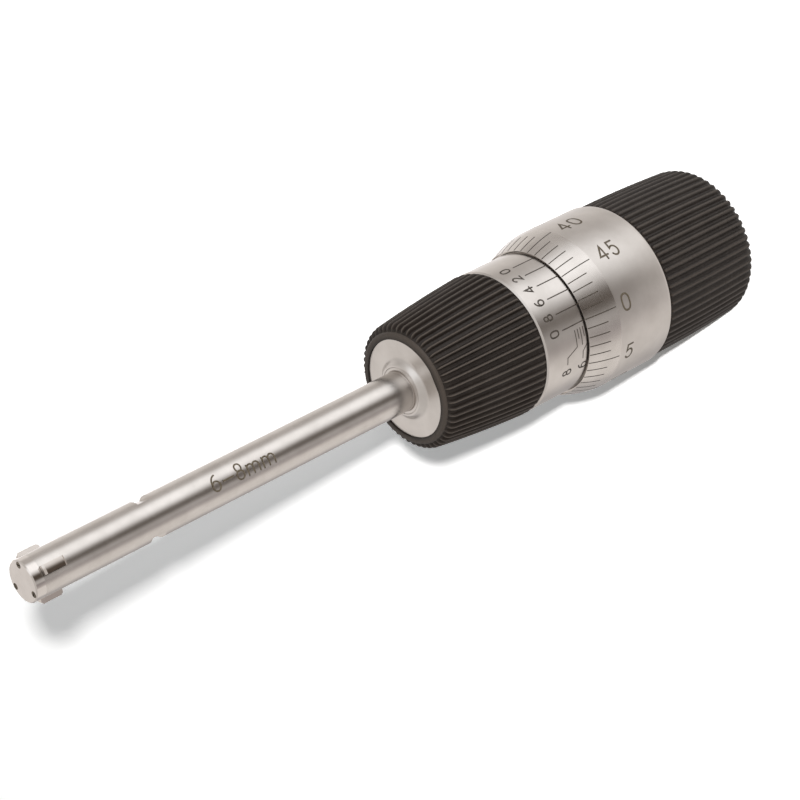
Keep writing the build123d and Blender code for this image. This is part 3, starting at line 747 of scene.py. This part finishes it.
# Pale crests: partly rubbing, partly a painted highlight
ribbed(
    "rear_grip_cover", "rear_grip", "ratchet", rib_azimuths(REAR_RIBS, REAR_HALF_WIDTH), rear_stations,
    rear_groove, rear_crest, rear_width, REAR_INNER, crest_wear_and_highlight=0.6,
)


# Marks

DATUM = -90.0
MARK_LIFT = 0.01
STROKE_STEP = 0.35
MITRE_LIMIT = 0.45
END_FAN = (pi / 3, pi / 9, -pi / 9, -pi / 3)

# Vernier on the sleeve
VERNIER_LABELS = ("0", "8", "6", "4", "2", "0")
VERNIER_STEP = 12.96
VERNIER_BACK = 32.75
VERNIER_FRONT = 37.3
VERNIER_WIDTH = 0.16
VERNIER_TEXT_HEIGHT = 38.8
VERNIER_TEXT = {"size": 1.42, "width": 0.23}

# Main scale, in front of the thimble's edge, with its leaders and their numbers at (height, azimuth) places
MAIN_STEP = 0.5
MAIN_START = -94.2
MAIN_ENDS = (-101.5, -107.5, -101.5, -107.5)
MAIN_WIDTH = 0.136
MAIN_LEADERS = (
    ((35.35, -107.5), (37.2, -112.7), (37.2, -118.4)),
    ((33.6, -108.9), (34.3, -113.3), (34.3, -119.2)),
)
MAIN_LABELS = (("8", 37.2, -125.8), ("6", 34.25, -126.0))
MAIN_TEXT = {"size": 1.5, "width": 0.21}

# Thimble: a number at every fifth of its divisions, further back where it has two digits
DIVISIONS = 50
NUMBERED = 5
DIVISION_WIDTH = 0.14
DIVISION_STEPS = 6
DIVISION_FRONT = THIMBLE_FRONT - 0.12
LONG_DIVISION_BACK = 28.7
SHORT_DIVISION_BACK = 30.35
DIGIT_HEIGHTS = {1: 26.7, 2: 25.2}
NUMBER_TEXT = {"size": 2.25, "width": 0.28, "spacing": 0.28}

# Measuring range on the stem
RANGE_HEIGHT = HEAD_FACE - 31.4
RANGE_AZIMUTH = -73.0
RANGE_TEXT = {"size": 2.05, "width": 0.22, "spacing": 0.2}


def arc(cx, cy, rx, ry, start, end, steps=14):
    """Points of an elliptic arc; angles in degrees, counter-clockwise from +x."""
    angles = [radians(start + (end - start) * i / steps) for i in range(steps + 1)]
    return [(cx + rx * cos(a), cy + ry * sin(a)) for a in angles]


def oval(cx, cy, rx, ry, power=2.5, steps=32):
    """Closed oval with slightly straight sides."""
    points = []
    for i in range(steps + 1):
        a = 2 * pi * i / steps
        c, s = cos(a), sin(a)
        points.append((
            cx + rx * abs(c) ** (2 / power) * (1 if c >= 0 else -1),
            cy + ry * abs(s) ** (2 / power) * (1 if s >= 0 else -1),
        ))
    return points


# Advance and strokes of each character, in a box 1 high
GLYPHS = {
    "0": (0.68, [oval(0.34, 0.5, 0.30, 0.5)]),
    "1": (0.40, [[(0.06, 0.78), (0.26, 1.0), (0.26, 0.0)]]),
    "2": (0.62, [arc(0.30, 0.72, 0.25, 0.28, 165, -25, 12) + [(0.46, 0.46), (0.04, 0.0), (0.58, 0.0)]]),
    "3": (0.62, [arc(0.29, 0.76, 0.23, 0.24, 155, -90, 12) + arc(0.29, 0.26, 0.27, 0.26, 90, -155, 12)[1:]]),
    "4": (0.66, [[(0.46, 0.0), (0.46, 1.0), (0.02, 0.27), (0.64, 0.27)]]),
    "5": (0.62, [[(0.53, 1.0), (0.12, 1.0), (0.075, 0.56)] + arc(0.29, 0.33, 0.27, 0.33, 128, -150, 16)]),
    "6": (0.62, [arc(0.53, 0.40, 0.49, 0.60, 97, 178, 8) + arc(0.31, 0.31, 0.27, 0.31, 170, -190, 24)]),
    "7": (0.60, [[(0.04, 1.0), (0.56, 1.0), (0.20, 0.0)]]),
    "8": (0.62, [oval(0.31, 0.755, 0.21, 0.245, 2.2), oval(0.31, 0.27, 0.26, 0.27, 2.2)]),
    "-": (0.80, [[(0.02, 0.42), (0.79, 0.42)]]),
    "m": (0.98, [
        [(0.05, 0.0), (0.05, 0.64)],
        [(0.05, 0.42)] + arc(0.265, 0.42, 0.215, 0.22, 170, 0, 8) + [(0.48, 0.0)],
        [(0.48, 0.42)] + arc(0.70, 0.42, 0.22, 0.22, 170, 0, 8) + [(0.92, 0.0)],
    ]),
}


def even_points(line):
    """The points of a line, with more between them so that none are far apart."""
    fine = [line[0]]
    for a, b in zip(line, line[1:]):
        parts = max(1, int(hypot(b[0] - a[0], b[1] - a[1]) / STROKE_STEP))
        fine += [
            (a[0] + (b[0] - a[0]) * i / parts, a[1] + (b[1] - a[1]) * i / parts)
            for i in range(1, parts + 1)
        ]
    return fine


class Marks:
    """Painted marks on a turned surface, gathered into one mesh."""

    def __init__(self, surface):
        self.surface, self.points, self.faces = surface, [], []

    def place(self, height, azimuth, along, across):
        """Point on the surface at an offset in millimetres; across is the offset round the axis."""
        z = height + along
        radius = self.surface(z)
        self.points.append(polar(radius, azimuth + degrees(across / radius), z))
        return len(self.points) - 1

    def stroke(self, line, width, to_surface):
        """A ribbon with round ends along a line of (x, y) points."""
        fine = even_points(line)
        closed = hypot(fine[0][0] - fine[-1][0], fine[0][1] - fine[-1][1]) < 1e-6
        if closed:
            fine = fine[:-1]
        count = len(fine)
        rails = []
        for i, (x, y) in enumerate(fine):
            before = fine[i - 1] if i or closed else fine[i]
            after = fine[(i + 1) % count] if i < count - 1 or closed else fine[i]
            ahead = Vector((after[0] - x, after[1] - y))
            behind = Vector((x - before[0], y - before[1]))
            ahead = ahead.normalized() if ahead.length > 1e-9 else behind.normalized()
            behind = behind.normalized() if behind.length > 1e-9 else ahead
            mean = (ahead + behind).normalized()
            reach = width / 2 / max(MITRE_LIMIT, mean.dot(ahead))
            side = Vector((-mean.y, mean.x)) * reach
            rails.append((to_surface(x + side.x, y + side.y), to_surface(x - side.x, y - side.y)))
        for i in range(count if closed else count - 1):
            a, b = rails[i], rails[(i + 1) % count]
            self.faces.append((a[0], a[1], b[1], b[0]))
        if closed:
            return
        ends = (fine[0], fine[1], rails[0][::-1]), (fine[-1], fine[-2], rails[-1])
        for end, inner, (first, last) in ends:
            away = atan2(end[1] - inner[1], end[0] - inner[0])
            fan = [
                to_surface(end[0] + width / 2 * cos(away + a), end[1] + width / 2 * sin(away + a))
                for a in END_FAN
            ]
            self.faces.append((first, *fan, last))

    def text(self, word, height, azimuth, reading, size, width, spacing=0.16):
        """Characters centred on a place. reading is "round", tops to the head, or "along", to the rear."""
        total = sum(GLYPHS[c][0] for c in word) * size + spacing * size * (len(word) - 1)
        x = -total / 2
        for c in word:
            advance, strokes = GLYPHS[c]
            for line in strokes:
                placed = [(x + px * size, (py - 0.5) * size) for px, py in line]
                if reading == "round":
                    self.stroke(placed, width, lambda u, v: self.place(height, azimuth, v, u))
                else:
                    self.stroke(placed, width, lambda u, v: self.place(height, azimuth, -u, v))
            x += (advance + spacing) * size

    def line_along(self, low, high, azimuth, width, steps=1):
        """A line along the axis between two heights."""
        line = [(low + (high - low) * k / steps, 0) for k in range(steps + 1)]
        self.stroke(line, width, lambda u, v: self.place(u, azimuth, 0, v))

    def path(self, corners, width):
        """A line through (height, azimuth) places on a cylinder."""
        radius = self.surface(corners[0][0])
        flat = [(radians(a) * radius, h) for h, a in corners]
        self.stroke(flat, width, lambda u, v: self.place(v, degrees(u / radius), 0, 0))

    def make(self, name, body, paint=PAINT):
        """The piece that the marks have become."""
        piece(name, self.points, self.faces, body, paint, 0)


sleeve_marks = Marks(lambda z: SLEEVE_RADIUS + MARK_LIFT)
for i, label in enumerate(VERNIER_LABELS):
    azimuth = DATUM + VERNIER_STEP * i
    sleeve_marks.line_along(VERNIER_BACK, VERNIER_FRONT, azimuth, VERNIER_WIDTH)
    sleeve_marks.text(label, VERNIER_TEXT_HEIGHT, azimuth, "round", **VERNIER_TEXT)
for i, end in enumerate(MAIN_ENDS, 1):
    height = THIMBLE_FRONT + MAIN_STEP * i
    sleeve_marks.path([(height, MAIN_START), (height, end)], MAIN_WIDTH)
for corners in MAIN_LEADERS:
    sleeve_marks.path(corners, MAIN_WIDTH)
for label, height, azimuth in MAIN_LABELS:
    sleeve_marks.text(label, height, azimuth, "round", **MAIN_TEXT)
sleeve_marks.make("sleeve_marks", "frame")

thimble_marks = Marks(lambda z: bevel_radius(z) + MARK_LIFT)
thimble_numbers = Marks(lambda z: bevel_radius(z) + MARK_LIFT)
for i in range(DIVISIONS):
    azimuth = DATUM - 360 / DIVISIONS * i
    back = SHORT_DIVISION_BACK if i % NUMBERED else LONG_DIVISION_BACK
    thimble_marks.line_along(back, DIVISION_FRONT, azimuth, DIVISION_WIDTH, DIVISION_STEPS)
    if i % NUMBERED == 0:
        thimble_numbers.text(str(i), DIGIT_HEIGHTS[len(str(i))], azimuth, "along", **NUMBER_TEXT)
thimble_marks.make("thimble_marks", "screw")
thimble_numbers.make("thimble_numbers", "screw", BROWN_PAINT)

stem_marks = Marks(lambda z: STEM_RADIUS + MARK_LIFT)
stem_marks.text("6-8mm", RANGE_HEIGHT, RANGE_AZIMUTH, "along", **RANGE_TEXT)
stem_marks.make("stem_marks", "frame", BROWN_PAINT)


# Studio

# Levels below and above the horizon, and where one gives way to the other, as sines of the elevation.
# Glossy surfaces see the shine on top of the upper level.
LOWER_LEVEL = (0.88, 0.84, 0.805)
UPPER_LEVEL = (0.17, 0.168, 0.163)
UPPER_SHINE = (0.51, 0.485, 0.465)
HORIZON = (0.05, 0.35)

# Pale panel above and behind, which the faces square to the axis show
PANEL_LEVEL = (0.16, 0.15, 0.145)
PANEL_WIDTH = 44.0
PANEL_CORE = 16.0
PANEL_AZIMUTH = 105
PANEL_ELEVATION = 35

# Azimuth, half width, height of the top as the sine of its elevation, and amount of each side of the studio
SIDES = (
    (-33.0, 38.0, 1.2, (0.52, 0.56, 0.60)),
    (-91.0, 45.0, 0.60, (-0.36, -0.34, -0.32)),
    (-86.0, 20.0, 0.60, (-0.42, -0.42, -0.42)),
    (-130.0, 16.0, 0.30, (-0.38, -0.38, -0.36)),
    (12.0, 34.0, 0.50, (-0.33, -0.32, -0.31)),
    (92.0, 27.0, 0.10, (0.46, 0.46, 0.50)),
    (137.0, 32.0, 0.30, (-0.40, -0.38, -0.35)),
)
# Where the sides begin above the floor, and the length over which their tops fade
SIDE_FOOT = (-0.93, -0.72)
SIDE_FADE = 0.3

# Two key lamps, a small and a wide one, shifted from the camera so that the shadow lies along the lower right:
# name, shift and size in metres, and power
LAMPS = (("key_small", 0.0105, 0.006, 9.2), ("key_wide", 0.034, 0.034, 2.0))
LAMP_COLOUR = (1.0, 0.99, 0.98)
LAMP_TARGET = (0, 0, 0.04)
SHADOW_SIDE = -0.451 * Vector(CAMERA_RIGHT) + 0.892 * Vector(CAMERA_UP)

# Floor: its half side in metres, its true tone, its tone to the camera, and the distances between which it
# fades into the white background
FLOOR_REACH = 3.0
FLOOR_TONE = 0.86
FLOOR_BRIGHT_TONE = 1.56
FLOOR_FADE = (0.27, 0.36)


def mix_shader(tree, factor, first, second):
    """Mix of two shaders by a factor socket."""
    node = tree.nodes.new("ShaderNodeMixShader")
    tree.links.new(factor, node.inputs["Fac"])
    tree.links.new(first, node.inputs[1])
    tree.links.new(second, node.inputs[2])
    return node.outputs["Shader"]


def studio_world():
    """White to the camera, and to everything else a soft studio with bright and dim sides below the horizon."""
    world = bpy.data.worlds.new("studio")
    bpy.context.scene.world = world
    world.use_nodes = True
    tree = world.node_tree
    tree.nodes.clear()
    path = tree.nodes.new("ShaderNodeLightPath")
    toward = tree.nodes.new("ShaderNodeTexCoord").outputs["Generated"]
    parts = tree.nodes.new("ShaderNodeSeparateXYZ")
    tree.links.new(toward, parts.inputs["Vector"])
    rise = parts.outputs["Z"]
    level_way = vector_node(tree, "NORMALIZE", vector_node(tree, "MULTIPLY", toward, (1.0, 1.0, 0.0)))
    level_share = lobe(tree, rise, *SIDE_FOOT)
    sides = (0.0, 0.0, 0.0)
    for azimuth, half_width, top, amount in SIDES:
        turn = vector_node(tree, "DOT_PRODUCT", level_way, polar(1, azimuth, 0.0), "Value")
        share = math_node(tree, "MULTIPLY", lobe(tree, turn, cos(radians(half_width)), 1.0), level_share)
        share = math_node(tree, "MULTIPLY", share, lobe(tree, rise, top, top - SIDE_FADE))
        sides = vector_node(tree, "ADD", scaled(tree, amount, share), sides)
    above = lobe(tree, rise, *HORIZON)
    below = math_node(tree, "SUBTRACT", 1.0, above)
    panel_way = polar(cos(radians(PANEL_ELEVATION)), PANEL_AZIMUTH, sin(radians(PANEL_ELEVATION)))
    panel = vector_node(tree, "DOT_PRODUCT", toward, panel_way, "Value")
    panel_share = lobe(tree, panel, cos(radians(PANEL_WIDTH)), cos(radians(PANEL_CORE)))
    shine = vector_node(tree, "ADD", scaled(tree, PANEL_LEVEL, panel_share), UPPER_SHINE)
    upper = vector_node(tree, "ADD", scaled(tree, shine, path.outputs["Is Glossy Ray"]), UPPER_LEVEL)
    base = vector_node(tree, "ADD", scaled(tree, LOWER_LEVEL, below), scaled(tree, upper, above))
    soft = tree.nodes.new("ShaderNodeBackground")
    tree.links.new(vector_node(tree, "ADD", base, sides), soft.inputs["Color"])
    white = tree.nodes.new("ShaderNodeBackground")
    white.inputs["Color"].default_value = (1, 1, 1, 1)
    output = tree.nodes.new("ShaderNodeOutputWorld")
    backgrounds = soft.outputs["Background"], white.outputs["Background"]
    tree.links.new(mix_shader(tree, path.outputs["Is Camera Ray"], *backgrounds), output.inputs["Surface"])


def lamp(name, place, size, power):
    """A small square lamp aimed at the foot of the object, with no fall-off over the scene."""
    light = bpy.data.lights.new(name, "AREA")
    light.size = size
    light.energy = 1.0
    light.color = LAMP_COLOUR
    light.use_nodes = True
    tree = light.node_tree
    falloff = tree.nodes.new("ShaderNodeLightFalloff")
    falloff.inputs["Strength"].default_value = power
    glow = next(node for node in tree.nodes if node.type == "EMISSION")
    tree.links.new(falloff.outputs["Constant"], glow.inputs["Strength"])
    obj = bpy.data.objects.new(name, light)
    bpy.context.scene.collection.objects.link(obj)
    obj.location = place
    obj.rotation_mode = "QUATERNION"
    obj.rotation_quaternion = (place - Vector(LAMP_TARGET)).to_track_quat("Z", "Y")
    obj.visible_glossy = False


def floor_material():
    """Pale grey, but to the camera so bright that only the object's shadow shows, and plain white far out."""
    material = bpy.data.materials.new("floor_white")
    material.use_nodes = True
    tree = material.node_tree
    tree.nodes.clear()
    matt = tree.nodes.new("ShaderNodeBsdfDiffuse")
    feed(tree, matt.inputs["Color"], [FLOOR_TONE] * 3)
    bright = tree.nodes.new("ShaderNodeBsdfDiffuse")
    feed(tree, bright.inputs["Color"], [FLOOR_BRIGHT_TONE] * 3)
    plain = tree.nodes.new("ShaderNodeEmission")
    plain.inputs["Color"].default_value = (1, 1, 1, 1)
    place = tree.nodes.new("ShaderNodeTexCoord")
    distance = vector_node(tree, "LENGTH", place.outputs["Object"], output="Value")
    fade = lobe(tree, distance, *FLOOR_FADE)
    seen = mix_shader(tree, fade, bright.outputs["BSDF"], plain.outputs["Emission"])
    path = tree.nodes.new("ShaderNodeLightPath")
    output = tree.nodes.new("ShaderNodeOutputMaterial")
    choice = mix_shader(tree, path.outputs["Is Camera Ray"], matt.outputs["BSDF"], seen)
    tree.links.new(choice, output.inputs["Surface"])
    return material


studio_world()
for name, shift, size, power in LAMPS:
    lamp(name, Vector(CAMERA_PLACE) + shift * SHADOW_SIDE, size, power)

floor_mesh = bpy.data.meshes.new("floor")
floor_corners = [(FLOOR_REACH * x, FLOOR_REACH * y, 0) for x, y in ((-1, -1), (1, -1), (1, 1), (-1, 1))]
floor_mesh.from_pydata(floor_corners, [], [(0, 1, 2, 3)])
floor_mesh.materials.append(floor_material())
floor = bpy.data.objects.new("floor", floor_mesh)
bpy.context.scene.collection.objects.link(floor)
floor.visible_glossy = False

camera_data = bpy.data.cameras.new("camera")
camera_data.lens = CAMERA_LENS
camera_data.sensor_width = CAMERA_SENSOR
camera_data.clip_start, camera_data.clip_end = CAMERA_CLIP
camera = bpy.data.objects.new("camera", camera_data)
bpy.context.scene.collection.objects.link(camera)
axes = Matrix((CAMERA_RIGHT, CAMERA_UP, CAMERA_BACK)).transposed().to_4x4()
camera.matrix_world = Matrix.Translation(CAMERA_PLACE) @ axes
bpy.context.scene.camera = camera
bpy.context.scene.view_settings.view_transform = "Standard"
